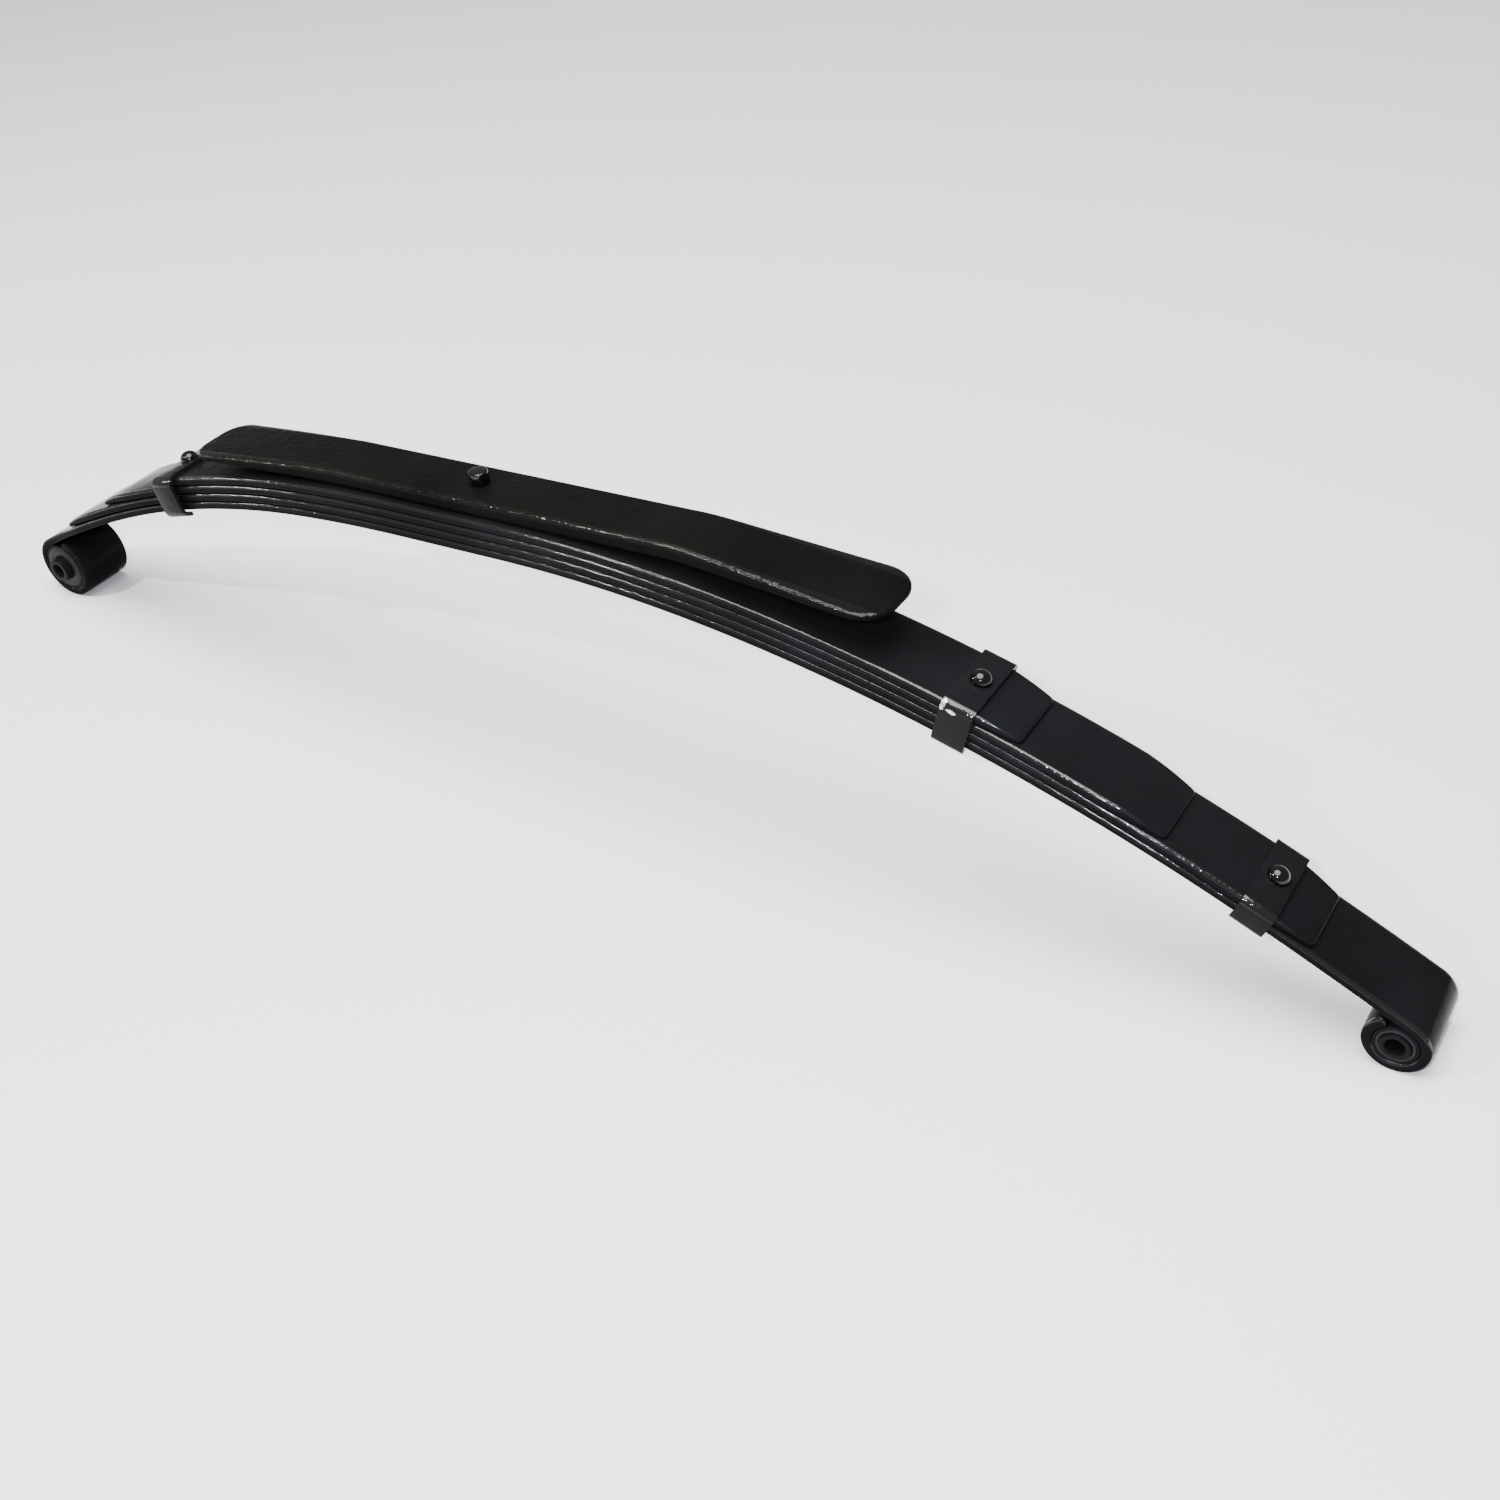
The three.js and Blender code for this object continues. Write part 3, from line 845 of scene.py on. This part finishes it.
rivetPattern = makeRivet()
for place, clip in clips.items():
    makeClip(place, clip)
    rivet = rivetPattern.copy()
    rivet.data = rivetPattern.data.copy()
    rivet.name = "rivet_" + place
    bpy.context.collection.objects.link(rivet)
    onLeaves = clip["level"] * leafPitch + pack["leafThickness"] + 2 * pack["leafGap"]
    rivet.location = (0, 0, onLeaves + clipShape["thickness"])
    settle(rivet)
    setOnPack(rivet, clip["reach"])
    smooth(rivet)
    wear(rivet, fastenerPaint, "fastener_paint")
    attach(rivet, clip["body"])
    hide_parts("rivet_" + place)
bpy.data.objects.remove(rivetPattern)
print("clips and rivets made")

bushes = {
    "front": {
        "centre": (-0.642124, 0.0308),
        "eyeRadius": 0.0308,
        "halfWidth": 0.0260,
        "coreRadius": 0.0115,
        "bulge": 0.0010,
        "body": "front_end",
        "core": "front_core",
    },
    "rear": {
        "centre": (0.649724, 0.0232),
        "eyeRadius": 0.0232,
        "halfWidth": 0.03175,
        "coreRadius": 0.0105,
        "bulge": 0.0006,
        "body": "rear_end",
        "core": "rear_core",
    },
}
bushShape = {
    "shellWall": 0.0016,
    "gap": 0.0003,
    "boreRadius": 0.007,
    "coreHalfLength": 0.033,
    "shellInset": 0.0008,
    "rubberInset": 0.0006,
    "shellEase": 0.0004,
    "rubberEase": 0.0006,
    "coreEase": 0.0007,
    "bulgeRings": 6,
    "sides": 72,
}


def makeTube(name, centre, outer, inner, halfLength, ease, bulge):
    startClean()
    bpy.ops.mesh.primitive_cylinder_add(
        vertices=bushShape["sides"],
        radius=outer,
        depth=2 * halfLength,
        location=(centre[0], 0, centre[1]),
        rotation=(pi / 2, 0, 0),
    )
    tube = settle(named(name))
    rings = bushShape["bulgeRings"] if bulge else 1
    for side in (-1, 1):
        pickFaces(
            tube,
            lambda face: face.normal.y * side > squareOn and len(face.vertices) > roundCap,
        )
        height = 0.0
        for ring in range(rings):
            bpy.ops.mesh.inset(thickness=(outer - inner) / rings)
            rise = bulge * sin(pi * (ring + 1) / rings)
            bpy.ops.transform.translate(value=(0, side * (rise - height), 0))
            height = rise
        bpy.ops.object.mode_set(mode="OBJECT")
    pickFaces(tube, lambda face: len(face.vertices) > roundCap)
    bpy.ops.mesh.bridge_edge_loops()
    bpy.ops.object.mode_set(mode="OBJECT")
    faceOut(tube)
    easeSharpEdges(tube, ease, 3, cornerAngle)
    return smooth(tube)


def makeBush(place, bush):
    shell = bush["eyeRadius"] - pack["leafThickness"] - bushShape["gap"]
    rubber = shell - bushShape["shellWall"] - bushShape["gap"]
    core = bush["coreRadius"]
    steel, body = (bushPaint, "bush_steel"), bush["body"]
    pieces = {  # outer and inner radius, half length, edge ease, bulge, finish, body
        "_bush_shell": (
            shell, shell - bushShape["shellWall"], bush["halfWidth"] - bushShape["shellInset"],
            bushShape["shellEase"], 0, steel, body,
        ),
        "_bush_rubber": (
            rubber, core + bushShape["gap"], bush["halfWidth"] - bushShape["rubberInset"],
            bushShape["rubberEase"], bush["bulge"], (bushRubber, "bush_rubber"), body,
        ),
        "_bush_core": (
            core, bushShape["boreRadius"], bushShape["coreHalfLength"],
            bushShape["coreEase"], 0, steel, bush["core"],
        ),
    }
    for suffix, (outer, inner, halfLength, ease, bulge, finish, rider) in pieces.items():
        name = place + suffix
        tube = makeTube(name, bush["centre"], outer, inner, halfLength, ease, bulge)
        wear(tube, *finish)
        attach(tube, rider)
        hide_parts(name)


for place, bush in bushes.items():
    makeBush(place, bush)
print("bushes made")

studio = {
    "floorSize": 30,
    "floorColour": (0.86, 0.86, 0.86),
    "floorFaint": 0.985,
    "floorMottle": (0.3, 0.7),
    "floorRoughness": 0.9,
    "floorSpecular": 0.1,
    "skyColour": (1.0, 1.0, 1.0),
    "skyStrength": 0.35,
    "cameraAt": (0.7884, -0.9170, 0.9468),
    "cameraTurn": (51.7725, 4.2359, 32.1591),
    "lens": 44.146,
    "sensorWidth": 36,
    "lamps": [  # place, aimed at, size, watts, colour
        ((0.1, -0.3, 3.2), (0, 0, 0), 3.0, 270, (1.0, 1.0, 1.0)),
        ((0.72, -1.02, 1.06), (0.25, 0, 0.1), 0.05, 24, (0.86, 0.91, 1.0)),
        ((-1.3, -1.5, 1.9), (0, 0, 0.1), 0.10, 45, (1.0, 0.98, 0.94)),
        ((-2.5, -1.0, 1.0), (-0.4, 0, 0.15), 0.10, 16, (1.0, 0.99, 0.92)),
    ],
}


def makeFloor():
    startClean()
    bpy.ops.mesh.primitive_plane_add(size=studio["floorSize"], location=(0, 0, 0))
    floor = named("studioFloor")
    material, tree, shader, where = blankMaterial("studioPaper")
    colour = studio["floorColour"]
    faint = tuple(value * studio["floorFaint"] for value in colour)
    colours = list(zip(studio["floorMottle"], (faint, colour)))
    tree.links.new(ramp(tree, noiseOn(tree, where, 0.7, 2), colours), shader.inputs["Base Color"])
    shader.inputs["Roughness"].default_value = studio["floorRoughness"]
    shader.inputs["Specular IOR Level"].default_value = studio["floorSpecular"]
    floor.data.materials.append(material)


def aimed(obj, target):
    x, y, z = (target[i] - obj.location[i] for i in range(3))
    flat = (x * x + y * y) ** 0.5
    obj.rotation_euler = (atan2(flat, -z), 0, atan2(-x, y))


def makeStudio():
    world = bpy.data.worlds.new("studioSky")
    bpy.context.scene.world = world
    world.use_nodes = True
    sky = world.node_tree.nodes["Background"]
    sky.inputs["Color"].default_value = (*studio["skyColour"], 1)
    sky.inputs["Strength"].default_value = studio["skyStrength"]
    for number, (at, target, size, power, colour) in enumerate(studio["lamps"]):
        bpy.ops.object.light_add(type="AREA", location=at)
        lamp = bpy.context.object
        lamp.name = "studioLamp%d" % (number + 1)
        lamp.data.shape = "DISK"
        lamp.data.size = size
        lamp.data.energy = power
        lamp.data.color = colour
        aimed(lamp, target)
    bpy.ops.object.camera_add(
        location=studio["cameraAt"], rotation=[radians(angle) for angle in studio["cameraTurn"]]
    )
    camera = bpy.context.object
    camera.name = "studioCamera"
    camera.data.lens = studio["lens"]
    camera.data.sensor_width = studio["sensorWidth"]
    bpy.context.scene.camera = camera


makeFloor()
makeStudio()
print("studio made")
